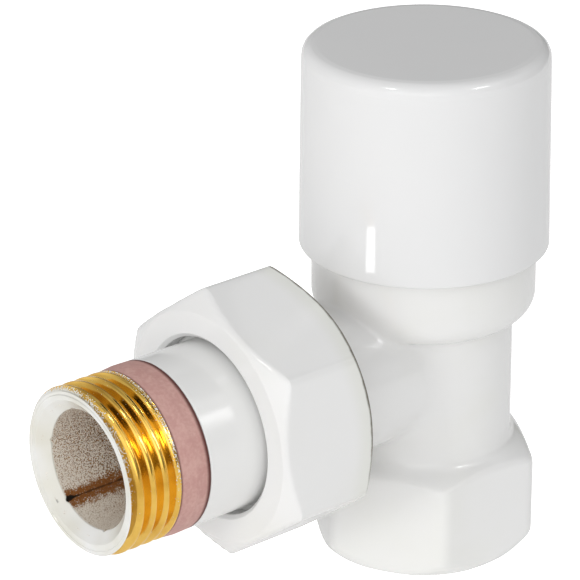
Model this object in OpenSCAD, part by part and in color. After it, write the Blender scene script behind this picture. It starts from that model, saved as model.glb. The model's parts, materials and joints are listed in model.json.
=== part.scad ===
// Angle lockshield valve for a radiator: a hexagon-ended body, a screwed
// headwork with a regulating spindle, a union tailpiece and a pull-off cap.
// +Z is the spindle's axis, -Y is the way the tailpiece points, and the origin
// is the middle of the inlet's mouth.  Millimetres, with the valve shut, the
// union tight and the cap on.

/* [Inlet hexagon] */
// Radius of the inlet's female pipe thread at its crests
inlet_r = 9.3; // [8:0.05:10.5]
// Depth of the inlet's thread
inlet_depth = 12; // [9:0.5:13.5]
// Wall from the inlet's thread to the hexagon's flats
hex_wall = 3.7; // [3:0.1:6]
// Height of the inlet hexagon
hex_h = 14.4; // [12:0.1:18]

/* [Waterway] */
// Height of the outlet's axis
axis_z = 25.5; // [21:0.1:31]
// Drop from the outlet's axis to the valve seat
seat_drop = 7.9; // [7:0.1:9]
// Radius of the port under the seat
port_r = 5.5; // [4.5:0.1:6.6]
// Radius of the outlet duct inside the boss
duct_r = 6.2; // [5:0.1:7.4]
// Wall of the boss round the outlet duct
boss_wall_t = 3.2; // [2.4:0.1:4]

/* [Neck and crown] */
// Wall of the neck round the chamber
neck_wall = 3.6; // [3:0.1:5]
// Rise from the outlet's axis to the foot of the crown's flare
flare_rise = 5.9; // [4:0.1:7.5]
// Height of the flare
flare_h = 3; // [2.4:0.1:6]
// Rise from the outlet's axis to the crown's top face
crown_rise = 17.4; // [16.5:0.1:20]
// Margin of the crown's face outside the bonnet's corners
crown_margin = 0.9; // [0.5:0.1:2]

/* [Union] */
// Distance from the valve's axis to the boss's end face
boss_end = 30.6; // [28:0.1:37]
// Length of the boss's male thread
boss_thread_l = 8; // [7:0.1:9.6]
// Thickness of the tailpiece's flange
flange_t = 1.4; // [1:0.1:2]
// Thickness of the nut's front wall
nut_wall = 2.4; // [1.8:0.1:3.2]
// Wall of the nut between its thread and its flats
nut_side = 2.35; // [1.9:0.05:4]
// Length of the union nut
nut_l = 13.6; // [11:0.1:15]
// Turn of the nut's hexagon about the outlet's axis, in degrees
nut_turn = 37; // [0:1:60]

/* [Tailpiece] */
// Distance from the boss's end face to the tailpiece's tip
tail_l = 22.8; // [19:0.1:30]
// Radius of the tailpiece's male pipe thread at its crests
tail_thread_r = 10.4775; // [9.5:0.0005:12.6]
// Length of the tailpiece's thread
tail_thread_l = 7; // [5:0.1:10]
// Wall of the tailpiece at its thread
tail_wall = 3.08; // [2.5:0.01:3.8]
// Width of the seal ring beside the thread
ring_w = 4.3; // [3:0.1:6]
// Depth of the seal ring's groove
ring_depth = 1.5; // [1:0.1:1.8]
// Width across flats of the key hexagon broached in the bore
key_af = 14; // [13:0.1:14.6]
// Depth of the key hexagon
key_depth = 14; // [8:0.5:18]

/* [Headwork] */
// Radius of the spindle's stem
stem_r = 3.9; // [3.3:0.05:4.7]
// Width across flats of the key socket in the spindle
socket_af = 5; // [4:0.1:5.2]
// Lift of the plug from closed to open
lift = 3.5; // [2.5:0.1:4.2]
// Length of the spindle's threaded collar
collar_h = 8; // [6.5:0.1:8.5]
// Depth of the bonnet's thread in the crown
bonnet_depth = 10.6; // [9.5:0.1:11]
// Thickness of the bonnet's hexagon
bonnet_hex_h = 3.2; // [2.5:0.1:4]
// Height of the bonnet's round head above its hexagon
head_h = 6.4; // [6.2:0.1:8]

/* [Cap] */
// Height of the cap
cap_h = 25.8; // [24.6:0.1:31]
// How far the cap reaches down over the crown
cap_lap = 2.5; // [1:0.1:5]
// Clearance between the cap's mouth and the crown
cap_clear = 0.3; // [0.2:0.05:1]
// Thickness of the cap's side wall
cap_wall = 1.25; // [0.9:0.05:1.6]
// Thickness of the cap's top
cap_roof = 1.8; // [1.2:0.1:2.2]
// How much narrower the cap is at its top, on the radius
cap_draft = 0.35; // [0:0.05:0.8]
// Rounding of the cap's top edge
cap_edge_r = 1.8; // [1:0.1:2.5]
// Number of ribs inside the cap
cap_ribs = 6; // [3:1:8]

/* [Hidden] */
$fn = 96;
run = 0.05;          // running clearance on the radius of a pair that turns or slides
gap = 0.1;           // clearance between faces that turn on each other
eps = 0.01;          // overlap that keeps cuts and unions clean

paint = [0.93, 0.93, 0.92];
brass = [0.80, 0.62, 0.30];
nickel = [0.72, 0.71, 0.68];
rubber = [0.12, 0.12, 0.13];
ptfe = [0.95, 0.95, 0.94];
plastic = [0.90, 0.90, 0.89];
rose = [0.72, 0.52, 0.49];

function across_corners(af) = af / 2 / cos(30);    // centre to corner of a hexagon

// valve body
hex_af = 2 * (inlet_r + hex_wall);
hex_foot_chamfer = 2.2;
hex_foot_margin = 0.2;                  // from the flats to the foot's round edge
hex_top_chamfer = 2;
hex_top_margin = 0.5;                   // how far the top's round edge is inside the neck
seat_z = axis_z - seat_drop;
seat_lip = 0.9;                         // width and height of the raised seat
chamber_r = port_r + 2.1;
neck_r = chamber_r + neck_wall;
flare_z = axis_z + flare_rise;
crown_top = axis_z + crown_rise;
spigot_r = duct_r + 2.8;                // tailpiece's spigot inside the boss
spigot_l = 4.2;

// bonnet and crown
bonnet_r = chamber_r + 1.2;
seal_pocket_r = bonnet_r + 1.4;         // counterbore for the bonnet's O-ring
bonnet_seat = 1.1;                      // width of the face that the bonnet's hexagon sits on
seal_pocket_h = 1.3;
bonnet_cord = 1.24;
bonnet_af = 2 * (seal_pocket_r + bonnet_seat);
crown_r = across_corners(bonnet_af) + crown_margin;
bonnet_foot = crown_top - bonnet_depth;
nose_l = 2.8;                           // guide below the bonnet's thread
nose_clear = 0.3;
bonnet_bevel = 0.9;                     // chamfer on top of the bonnet's hexagon
bonnet_foot_bevel = 0.5;
hex_top = crown_top + bonnet_hex_h;
head_top = hex_top + head_h;

// plug and spindle
washer_t = 2;
seat_gap = 0.05;                        // what the seat washer yields when the valve is shut
washer_z = seat_z + seat_gap;
washer_r = port_r + 1.2;
screw_r = 1.25;
screw_head_h = 1.4;
plug_z = washer_z + washer_t;
plug_h = 5;
plug_r = chamber_r - 0.5;
plug_floor = 1.1;
button_r = 3.2;                         // spindle's swivel button inside the plug
button_z = plug_z + plug_floor + gap;
button_h = 2.2;
button_neck_r = 2.3;
snap_z = button_z + button_h + gap;     // groove for the plug's snap ring
snap_t = 0.8;
snap_depth = 0.8;
collar_r = stem_r + 1.1;                // spindle's threaded collar
collar_z = plug_z + plug_h + 1.6;
collar_top = collar_z + collar_h;
thrust_t = 0.8;
stop_z = collar_top + thrust_t + lift + 0.2;    // shoulder that stops the spindle's rise
spindle_cord = 1.28;
spindle_groove_z = stop_z + 1.6;

// gland at the top of the bonnet
gland_r = stem_r + 1.75;
gland_cord = 1.6;
gland_washer_t = 0.8;
gland_nut_thread_l = 2.1;
gland_nut_head_h = 1.85;
gland_nut_edge = 0.3;                   // chamfer at both ends of the gland nut's head
gland_floor = head_top - gland_nut_thread_l - gland_washer_t - gland_cord - gap;
head_r = gland_r + 2.35;
gland_nut_z = head_top - gland_nut_thread_l;
gland_nut_top = head_top + run + gland_nut_head_h;
spindle_top = gland_nut_top + 1.2;
spindle_chamfer = 0.4;
socket_depth = 6;

// union, as distances from the valve's axis towards the tip
tail_r = tail_thread_r + 0.05;
tail_bore_r = tail_thread_r - tail_wall;
ring_seat_r = tail_r - ring_depth;
nut_hole_r = tail_r + 0.6;
flange_r = nut_hole_r + 0.85;
union_thread_r = flange_r + 0.65;       // mean radius of the union's thread
boss_r = duct_r + boss_wall_t;          // cast boss behind the thread
boss_flare = 2;                         // length of the cone from the boss to its thread
nut_af = 2 * (union_thread_r + nut_side);
thread_start = boss_end - boss_thread_l;
flange_back = boss_end + gap;
flange_front = flange_back + flange_t;
nut_inner = flange_front + gap;
nut_front = nut_inner + nut_wall;
nut_back = nut_front - nut_l;
nut_front_chamfer = 1.95;
nut_back_chamfer = 1.9;
nut_face_margin = 0.55;                 // from the flats to the front face's round edge
nut_back_margin = 0.25;                 // from the flats to the back face's round edge
nut_hole_chamfer = 0.5;
tail_tip = boss_end + tail_l;
tail_lead = 0.5;                        // chamfer at the start of the thread
tail_mouth = 1.35;                      // countersink at the tailpiece's mouth
tail_bore_start = boss_end + 2;
ring_start = tail_tip - tail_thread_l;
ring_end = ring_start - ring_w;
key_turn = 22;
union_groove_depth = 1.4;
union_cord = 1.36;
union_groove_y = boss_end - spigot_l / 2;

// cap
cap_z = crown_top - cap_lap;
cap_top = cap_z + cap_h;
cap_in_r = crown_r + cap_clear;
cap_r = cap_in_r + cap_wall;
cap_mouth_r = 0.35;                     // rounding of the cap's mouth
cap_ceiling = cap_top - cap_roof;
liner_in_r = head_r + run;
liner_wall = 1.5;
liner_out_r = liner_in_r + liner_wall;
liner_rim = 1;                          // width and height of the rim at the liner's foot
liner_z = hex_top + 0.3;
liner_top = spindle_top + lift + 1.2;
bead_z = liner_z + 4.6;                 // snap bead that keeps the cap on its liner
bead_h = 1;
bead_d = 0.4;
boss_in_r = liner_out_r + 0.08;         // cap's boss round the liner
boss_wall = 1.5;
boss_z = liner_z + liner_rim + 0.3;
rib_t = 1.2;
rib_z = boss_z + 0.3;
grip_z = hex_top + 2.4;                 // groove in the bonnet's head for the grip ring
grip_depth = 1.1;
grip_cord = 1.08;

// Hexagonal prism along +Z with corners on +Y and -Y.
module hex_prism(af, h) {
    rotate([0, 0, 30]) cylinder(r = across_corners(af), h = h, $fn = 6);
}

// Hexagonal prism with its ends turned down to the outline of a turned blank.
module turned_hex(af, h, foot_r, foot_h, top_r, top_h) {
    corner = across_corners(af);
    intersection() {
        hex_prism(af, h);
        rotate_extrude() polygon([
            [0, 0], [foot_r, 0], [corner, foot_h], [corner, h - top_h], [top_r, h], [0, h]
        ]);
    }
}

// Plain tube along +Z.
module tube(inner_r, outer_r, h) {
    difference() {
        cylinder(r = outer_r, h = h);
        translate([0, 0, -eps]) cylinder(r = inner_r, h = h + 2 * eps);
    }
}

// What a tool takes off a shaft of radius shaft_r to leave a groove.
module groove_cut(shaft_r, floor_r, h) {
    tube(floor_r, shaft_r + 1, h);
}

// Ring of round section whose inner radius is inner_r, centred on z = 0.
module o_ring(inner_r, cord) {
    rotate_extrude() translate([inner_r + cord / 2, 0]) circle(d = cord, $fn = 32);
}

// Lays a solid that was drawn along +Z along the outlet, so that z becomes the
// distance from the valve's axis.
module along_outlet() {
    translate([0, 0, axis_z]) rotate([90, 0, 0]) children();
}

module valve_body() {
    color(paint) difference() {
        union() {
            turned_hex(hex_af, hex_h, hex_af / 2 - hex_foot_margin, hex_foot_chamfer,
                       neck_r - hex_top_margin, hex_top_chamfer);
            rotate_extrude() polygon([
                [0, inlet_depth], [neck_r, inlet_depth], [neck_r, flare_z],
                for (a = [15 : 15 : 90]) [
                    neck_r + (crown_r - neck_r) * sin(a),
                    flare_z + flare_h * (1 - cos(a))
                ],
                [crown_r, crown_top], [0, crown_top]
            ]);
            along_outlet() cylinder(r = boss_r, h = thread_start);
            along_outlet() translate([0, 0, thread_start - boss_flare])
                cylinder(r1 = boss_r, r2 = union_thread_r - run, h = boss_flare);
            along_outlet() translate([0, 0, thread_start - eps])
                cylinder(r = union_thread_r - run, h = boss_thread_l + eps);
        }
        // waterway in, with a raised seat round the port
        translate([0, 0, -eps]) cylinder(r = inlet_r, h = inlet_depth + eps);
        cylinder(r = port_r, h = seat_z);
        translate([0, 0, seat_z - seat_lip]) tube(port_r + seat_lip, chamber_r, seat_lip + eps);
        // chamber, bonnet thread and the pocket for its O-ring
        translate([0, 0, seat_z]) cylinder(r = chamber_r, h = crown_top - seat_z);
        translate([0, 0, bonnet_foot - gap]) cylinder(r = bonnet_r, h = bonnet_depth + 1);
        translate([0, 0, crown_top - seal_pocket_h]) cylinder(r = seal_pocket_r, h = seal_pocket_h + 1);
        // waterway out, with the bore for the tailpiece's spigot
        along_outlet() cylinder(r = duct_r, h = boss_end + eps);
        along_outlet() translate([0, 0, boss_end - spigot_l - gap])
            cylinder(r = spigot_r + run, h = spigot_l + 1);
    }
}

module bonnet() {
    color(nickel) difference() {
        union() {
            translate([0, 0, bonnet_foot - nose_l]) cylinder(r = chamber_r - nose_clear, h = nose_l + eps);
            translate([0, 0, bonnet_foot]) cylinder(r = bonnet_r - run, h = bonnet_depth);
            translate([0, 0, crown_top])
                turned_hex(bonnet_af, bonnet_hex_h, across_corners(bonnet_af), bonnet_foot_bevel,
                           bonnet_af / 2 + 0.2, bonnet_bevel);
            translate([0, 0, hex_top - eps]) cylinder(r = head_r, h = head_h + eps);
        }
        // spindle thread up to the stop, the stem's bore and the gland pocket
        translate([0, 0, bonnet_foot - nose_l - eps])
            cylinder(r = collar_r + run, h = stop_z - bonnet_foot + nose_l + eps);
        translate([0, 0, stop_z - eps]) cylinder(r = stem_r + run, h = head_top - stop_z);
        translate([0, 0, gland_floor]) cylinder(r = gland_r, h = head_top - gland_floor + eps);
        translate([0, 0, grip_z - grip_cord / 2 - run])
            groove_cut(head_r, head_r - grip_depth, grip_cord + 2 * run);
    }
}

module bonnet_o_ring() {
    color(rubber) translate([0, 0, crown_top - seal_pocket_h / 2]) o_ring(bonnet_r + run, bonnet_cord);
}

module gland_o_ring() {
    color(rubber) translate([0, 0, gland_floor + gland_cord / 2]) o_ring(stem_r + run, gland_cord);
}

module gland_washer() {
    color(brass) translate([0, 0, gland_floor + gland_cord])
        tube(stem_r + run, gland_r - run, gland_washer_t);
}

module gland_nut() {
    color(brass) difference() {
        union() {
            translate([0, 0, gland_nut_z]) cylinder(r = gland_r - run, h = gland_nut_thread_l);
            translate([0, 0, gland_nut_z]) cylinder(r = gland_r - 2 * run, h = gland_nut_thread_l + 1);
            translate([0, 0, head_top + run])
                turned_hex(2 * gland_r, gland_nut_head_h, gland_r + gland_nut_edge, gland_nut_edge,
                           gland_r + gland_nut_edge, gland_nut_edge);
        }
        translate([0, 0, gland_nut_z - eps])
            cylinder(r = stem_r + run, h = gland_nut_top - gland_nut_z + 2 * eps);
    }
}

module spindle() {
    color(brass) difference() {
        union() {
            translate([0, 0, button_z]) cylinder(r = button_r, h = button_h);
            translate([0, 0, button_z]) cylinder(r = button_neck_r, h = collar_z - button_z + eps);
            translate([0, 0, collar_z]) cylinder(r = collar_r, h = collar_h);
            translate([0, 0, collar_top - eps])
                cylinder(r = stem_r, h = spindle_top - spindle_chamfer - collar_top + eps);
            translate([0, 0, spindle_top - spindle_chamfer])
                cylinder(r1 = stem_r, r2 = stem_r - spindle_chamfer, h = spindle_chamfer);
        }
        translate([0, 0, spindle_top - socket_depth]) hex_prism(socket_af, socket_depth + eps);
        translate([0, 0, spindle_groove_z - spindle_cord / 2 - run])
            groove_cut(stem_r, stem_r - spindle_cord - run, spindle_cord + 2 * run);
    }
}

module spindle_o_ring() {
    color(rubber) translate([0, 0, spindle_groove_z]) o_ring(stem_r - spindle_cord, spindle_cord);
}

module thrust_washer() {
    color(ptfe) translate([0, 0, collar_top]) tube(stem_r + run, collar_r - 0.2, thrust_t);
}

module plug() {
    color(brass) translate([0, 0, plug_z]) difference() {
        cylinder(r = plug_r, h = plug_h);
        translate([0, 0, plug_floor]) cylinder(r = button_r + run, h = plug_h);
        translate([0, 0, -eps]) cylinder(r = screw_r + run, h = plug_h);
        translate([0, 0, snap_z - plug_z]) cylinder(r = button_r + snap_depth, h = snap_t);
    }
}

// Open ring that holds the spindle's button down in the plug.
module plug_snap_ring() {
    opening = 1.4;
    color(nickel) translate([0, 0, snap_z + run]) difference() {
        tube(button_neck_r + 0.15, button_r + snap_depth - gap, snap_t - 2 * run);
        translate([0, -opening / 2, -eps]) cube([button_r + 1, opening, snap_t + 2 * eps]);
    }
}

module seat_washer() {
    color(rubber) translate([0, 0, washer_z]) tube(screw_r + run, washer_r, washer_t);
}

module washer_screw() {
    slot_w = 0.7;
    slot_d = 0.7;
    head_foot_r = 2.2;
    head_top_r = 2.8;
    color(nickel) translate([0, 0, washer_z]) difference() {
        union() {
            translate([0, 0, -screw_head_h]) cylinder(r1 = head_foot_r, r2 = head_top_r, h = screw_head_h);
            translate([0, 0, -eps]) cylinder(r = screw_r, h = washer_t + plug_floor - gap);
        }
        translate([-head_top_r, -slot_w / 2, -screw_head_h - eps]) cube([2 * head_top_r, slot_w, slot_d]);
    }
}

module union_o_ring() {
    color(rubber) along_outlet() translate([0, 0, union_groove_y])
        o_ring(spigot_r - union_groove_depth + 0.02, union_cord);
}

module tailpiece() {
    groove_w = union_cord + 2 * run;
    color(brass) along_outlet() difference() {
        union() {
            // thread with its lead, the seal ring's seat, barrel, flange and spigot
            translate([0, 0, tail_tip - tail_lead])
                cylinder(r1 = tail_thread_r, r2 = tail_thread_r - tail_lead, h = tail_lead);
            translate([0, 0, ring_start])
                cylinder(r = tail_thread_r, h = tail_thread_l - tail_lead + eps);
            translate([0, 0, ring_end - eps]) cylinder(r = ring_seat_r, h = ring_w + 2 * eps);
            translate([0, 0, flange_back]) cylinder(r = tail_r, h = ring_end - flange_back);
            translate([0, 0, flange_back]) cylinder(r = flange_r, h = flange_t);
            translate([0, 0, boss_end - spigot_l]) cylinder(r = spigot_r, h = spigot_l + gap + eps);
        }
        translate([0, 0, tail_tip - key_depth]) rotate([0, 0, key_turn])
            hex_prism(key_af, key_depth + 1);
        translate([0, 0, boss_end - spigot_l - eps]) cylinder(r = duct_r, h = tail_l);
        translate([0, 0, tail_bore_start]) cylinder(r = tail_bore_r, h = tail_l);
        translate([0, 0, tail_tip - tail_mouth])
            cylinder(r1 = tail_bore_r, r2 = tail_bore_r + tail_mouth + eps, h = tail_mouth + eps);
        translate([0, 0, union_groove_y - groove_w / 2])
            groove_cut(spigot_r, spigot_r - union_groove_depth, groove_w);
    }
}

// Ring that seals on the radiator's face, with a low ridge round its middle.
module tail_seal_ring() {
    foot = ring_end + run;
    face = ring_start - run;
    color(rose) along_outlet() rotate_extrude() polygon([
        [ring_seat_r + run, foot], [tail_r, foot], [tail_r + 0.05, (foot + face) / 2],
        [tail_r - 0.15, face], [ring_seat_r + run, face]
    ]);
}

module union_nut() {
    color(paint) along_outlet() difference() {
        translate([0, 0, nut_back]) rotate([0, 0, nut_turn - 30])
            turned_hex(nut_af, nut_l, nut_af / 2 - nut_back_margin, nut_back_chamfer,
                       nut_af / 2 - nut_face_margin, nut_front_chamfer);
        translate([0, 0, nut_back - eps]) cylinder(r = union_thread_r, h = nut_inner - nut_back + eps);
        translate([0, 0, nut_back]) cylinder(r = nut_hole_r, h = nut_l + 1);
        translate([0, 0, nut_front - nut_hole_chamfer])
            cylinder(r1 = nut_hole_r, r2 = nut_hole_r + nut_hole_chamfer + eps, h = nut_hole_chamfer + eps);
    }
}

// Sleeve that grips the bonnet's head and carries the cap.
module cap_liner() {
    color(plastic) difference() {
        union() {
            translate([0, 0, liner_z]) cylinder(r = liner_out_r, h = liner_top - liner_z);
            translate([0, 0, liner_z]) cylinder(r = liner_out_r + liner_rim, h = liner_rim);
            translate([0, 0, bead_z]) cylinder(r = liner_out_r + bead_d, h = bead_h);
        }
        translate([0, 0, liner_z - eps]) cylinder(r = liner_in_r, h = liner_top - liner_z + 1);
    }
}

module cap_grip_ring() {
    color(rubber) translate([0, 0, grip_z]) o_ring(head_r - grip_cord, grip_cord);
}

module lockshield_cap() {
    taper = cap_draft / cap_h;
    color(plastic) difference() {
        union() {
            // shell
            rotate_extrude() polygon([
                [cap_in_r, cap_z], [cap_r - cap_mouth_r, cap_z], [cap_r, cap_z + cap_mouth_r],
                for (a = [0 : 15 : 90]) [
                    cap_r - cap_draft - cap_edge_r * (1 - cos(a)),
                    cap_top - cap_edge_r * (1 - sin(a))
                ],
                [0, cap_top], [0, cap_ceiling], [cap_in_r - taper * (cap_h - cap_roof), cap_ceiling]
            ]);
            // boss round the liner, and the ribs from the boss to the wall
            translate([0, 0, boss_z]) cylinder(r = boss_in_r + boss_wall, h = cap_ceiling - boss_z + eps);
            for (k = [0 : cap_ribs - 1]) rotate([0, 0, 360 * k / cap_ribs])
                translate([boss_in_r + 0.5, -rib_t / 2, rib_z])
                    cube([cap_in_r - boss_in_r, rib_t, cap_ceiling - rib_z + eps]);
        }
        translate([0, 0, liner_z]) cylinder(r = boss_in_r, h = cap_ceiling - liner_z);
        translate([0, 0, bead_z - gap]) cylinder(r = boss_in_r + bead_d, h = bead_h + 2 * gap);
    }
}

valve_body();
bonnet();
bonnet_o_ring();
gland_washer();
gland_o_ring();
gland_nut();
spindle();
spindle_o_ring();
thrust_washer();
plug();
plug_snap_ring();
seat_washer();
washer_screw();
union_o_ring();
tailpiece();
tail_seal_ring();
union_nut();
cap_liner();
cap_grip_ring();
lockshield_cap();
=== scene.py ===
import json
import math
import bmesh
import bpy
from mathutils import Matrix, Vector


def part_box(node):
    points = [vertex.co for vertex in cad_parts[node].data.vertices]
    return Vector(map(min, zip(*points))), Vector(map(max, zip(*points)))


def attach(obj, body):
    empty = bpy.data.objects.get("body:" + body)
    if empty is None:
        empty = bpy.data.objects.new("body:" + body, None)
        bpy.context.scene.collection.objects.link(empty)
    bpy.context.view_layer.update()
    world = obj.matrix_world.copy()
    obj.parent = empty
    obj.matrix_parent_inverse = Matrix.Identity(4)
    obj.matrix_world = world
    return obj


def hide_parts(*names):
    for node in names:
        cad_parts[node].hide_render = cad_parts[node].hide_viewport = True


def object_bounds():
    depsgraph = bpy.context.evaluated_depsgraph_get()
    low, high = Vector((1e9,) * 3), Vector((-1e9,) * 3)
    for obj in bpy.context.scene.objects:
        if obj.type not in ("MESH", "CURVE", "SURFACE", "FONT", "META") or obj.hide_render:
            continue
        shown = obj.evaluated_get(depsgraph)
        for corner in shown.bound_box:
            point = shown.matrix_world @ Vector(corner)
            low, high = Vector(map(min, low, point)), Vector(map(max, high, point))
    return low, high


# Angle lockshield valve.  Lengths in the dictionaries are millimetres, and
# stations are distances along a piece's own axis: height on the spindle's
# axis, distance from it on the outlet's.
mm = 0.001
print("loading the frame")
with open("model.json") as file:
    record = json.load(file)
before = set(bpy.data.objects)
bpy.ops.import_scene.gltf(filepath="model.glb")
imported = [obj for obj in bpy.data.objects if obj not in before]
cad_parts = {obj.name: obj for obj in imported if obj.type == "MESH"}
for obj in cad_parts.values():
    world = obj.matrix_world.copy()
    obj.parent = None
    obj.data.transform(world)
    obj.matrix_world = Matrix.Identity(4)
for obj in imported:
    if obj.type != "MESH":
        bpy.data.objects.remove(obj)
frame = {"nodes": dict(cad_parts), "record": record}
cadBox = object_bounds()
mounts = {m["name"]: m for m in frame["record"]["mounts"]}
outletHeight = mounts["tail_thread"]["pos_m"][2] / mm


def spanOf(node):
    low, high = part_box(node)
    return low / mm, high / mm


# One output socket of a node tree.  Sums on wires add the nodes they need.
class Wire:
    def __init__(self, tree, socket=None):
        self.tree = tree
        self.socket = socket

    # Adds a node: its settings first, then values or links for its sockets.
    def add(self, kind, settings=None, inputs=None, out=0):
        node = self.tree.nodes.new(kind)
        for name, value in (settings or {}).items():
            if name == "stops":
                layStops(node.color_ramp, value)
            else:
                setattr(node, name, value)
        for name, value in (inputs or {}).items():
            if isinstance(value, Wire):
                self.tree.links.new(value.socket, node.inputs[name])
            else:
                node.inputs[name].default_value = value
        return Wire(self.tree, node.outputs[out] if len(node.outputs) else None)

    def maths(self, operation, *values):
        return self.add("ShaderNodeMath", {"operation": operation}, dict(enumerate(values)))

    def vectorMaths(self, operation, *values, out=0):
        return self.add("ShaderNodeVectorMath", {"operation": operation}, dict(enumerate(values)), out)

    def __add__(self, other):
        return self.maths("ADD", self, other)

    def __radd__(self, other):
        return self.maths("ADD", other, self)

    def __sub__(self, other):
        return self.maths("SUBTRACT", self, other)

    def __rsub__(self, other):
        return self.maths("SUBTRACT", other, self)

    def __mul__(self, other):
        return self.maths("MULTIPLY", self, other)

    def __rmul__(self, other):
        return self.maths("MULTIPLY", other, self)

    def __truediv__(self, other):
        return self.maths("DIVIDE", self, other)

    def __rtruediv__(self, other):
        return self.maths("DIVIDE", other, self)

    def __pow__(self, other):
        return self.maths("POWER", self, other)

    def __neg__(self):
        return self.maths("MULTIPLY", self, -1.0)

    def __abs__(self):
        return self.maths("ABSOLUTE", self)

    def least(self, other, blend=0.0):
        return self.maths("SMOOTH_MIN", self, other, blend)

    def most(self, other, blend=0.0):
        return self.maths("SMOOTH_MAX", self, other, blend)

    def root(self):
        return self.maths("SQRT", self)

    # 0 below low and 1 above high, with a soft step between.
    def step(self, low, high):
        settings = {"interpolation_type": "SMOOTHSTEP"}
        return self.add("ShaderNodeMapRange", settings, {"Value": self, "From Min": low, "From Max": high})

    # The first colour where this mask is 0 and the second where it is 1.
    def mix(self, first, second):
        return self.add("ShaderNodeMix", {"data_type": "RGBA"}, {0: self, 6: first, 7: second}, 2)

    # x, y and z of a vector.
    def split(self):
        node = self.tree.nodes.new("ShaderNodeSeparateXYZ")
        self.tree.links.new(self.socket, node.inputs[0])
        return [Wire(self.tree, output) for output in node.outputs]

    def vector(self, x, y, z):
        return self.add("ShaderNodeCombineXYZ", {}, {0: x, 1: y, 2: z})


def layStops(ramp, stops):
    while len(ramp.elements) < len(stops):
        ramp.elements.new(0.5)
    for element, (place, colour) in zip(ramp.elements, stops):
        element.position = place
        element.color = colour


def length2(a, b):
    return (a * a + b * b).root()


# A Geometry Nodes tree with named number inputs.  Returns the tree, its
# incoming geometry and its inputs by name.
def startTree(name, labels):
    tree = bpy.data.node_groups.new(name, "GeometryNodeTree")
    tree.interface.new_socket("Geometry", in_out="INPUT", socket_type="NodeSocketGeometry")
    for label in labels:
        tree.interface.new_socket(label, in_out="INPUT", socket_type="NodeSocketFloat")
    tree.interface.new_socket("Material", in_out="INPUT", socket_type="NodeSocketMaterial")
    tree.interface.new_socket("Geometry", in_out="OUTPUT", socket_type="NodeSocketGeometry")
    entry = tree.nodes.new("NodeGroupInput")
    wires = {output.name: Wire(tree, output) for output in entry.outputs if output.name}
    return tree, wires["Geometry"], wires


# Ends a tree in smooth shading, Realize Instances and Set Material.
def endTree(tree, geometry, wires):
    smooth = geometry.add("GeometryNodeSetShadeSmooth", {}, {"Geometry": geometry})
    real = smooth.add("GeometryNodeRealizeInstances", {}, {"Geometry": smooth})
    painted = real.add("GeometryNodeSetMaterial", {}, {"Geometry": real, "Material": wires["Material"]})
    leave = tree.nodes.new("NodeGroupOutput")
    tree.links.new(painted.socket, leave.inputs[0])


# Runs a tree on a mesh with its inputs set, and returns the plain result.
def runTree(name, mesh, tree, values, material):
    piece = bpy.data.objects.new(name, mesh)
    bpy.context.scene.collection.objects.link(piece)
    modifier = piece.modifiers.new("shape", "NODES")
    modifier.node_group = tree
    for item in tree.interface.items_tree:
        if item.in_out == "INPUT" and item.name in values:
            modifier[item.identifier] = float(values[item.name])
        if item.in_out == "INPUT" and item.name == "Material":
            modifier[item.identifier] = material
    bpy.context.view_layer.update()
    shaped = piece.evaluated_get(bpy.context.evaluated_depsgraph_get())
    plain = bpy.data.meshes.new_from_object(shaped)
    piece.modifiers.remove(modifier)
    piece.data = plain
    plain.name = name
    if not plain.materials:
        plain.materials.append(material)
    return piece


def settle(piece, body, slot, *nodes):
    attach(piece, body)
    if nodes:
        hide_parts(*nodes)
    return piece


# A new material.  Returns it, its shader node and a wire to start sums from.
def startMaterial(name, **constants):
    material = bpy.data.materials.new(name)
    material.use_nodes = True
    tree = material.node_tree
    shader = tree.nodes["Principled BSDF"]
    for label, value in constants.items():
        shader.inputs[label.replace("_", " ")].default_value = value
    place = Wire(tree).add("ShaderNodeTexCoord", {}, {}, 3)
    return material, shader, place


def feed(shader, label, wire):
    wire.tree.links.new(wire.socket, shader.inputs[label])


def noise(place, scale, detail=2.0, roughness=0.5, distortion=0.0):
    sockets = {"Vector": place, "Scale": scale, "Detail": detail, "Roughness": roughness,
               "Distortion": distortion}
    return place.add("ShaderNodeTexNoise", {}, sockets)


def bump(height, strength, distance, below=None):
    sockets = {"Height": height, "Strength": strength, "Distance": distance}
    if below:
        sockets["Normal"] = below
    return height.add("ShaderNodeBump", {}, sockets)


# Radius and station about the outlet's axis, in millimetres.
def outletCoordinates(place):
    x, y, z = place.split()
    return length2(x, z - outletHeight * mm) / mm, y / -mm


enamelLook = {"colour": (0.80, 0.80, 0.795, 1), "warm": (0.775, 0.775, 0.745, 1),
              "waves": 190, "grain": 900}


# Gloss white enamel: faint orange peel, and thinner, warmer film in places.
def makeEnamel(name):
    look = enamelLook
    material, shader, place = startMaterial(name, IOR=1.5)
    patches = noise(place, 60, 3).step(0.42, 0.78)
    feed(shader, "Base Color", patches.mix(look["colour"], look["warm"]))
    feed(shader, "Roughness", noise(place, 140, 2) * 0.06 + 0.09)
    peel = noise(place, look["waves"], 1) + noise(place, look["grain"], 1) * 0.12
    feed(shader, "Normal", bump(peel, 0.2, 0.0001))
    return material


# Colours and width of the painted shade along the nut's back edge and beside it.
nutEdgeShade = {"line": (0.14, 0.125, 0.10, 1), "width": 0.26, "tint": (0.74, 0.745, 0.70, 1)}


# How sharply a milled hexagon's corners stand out, in its mesh and its enamel.
milledSharpness = 55
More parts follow.
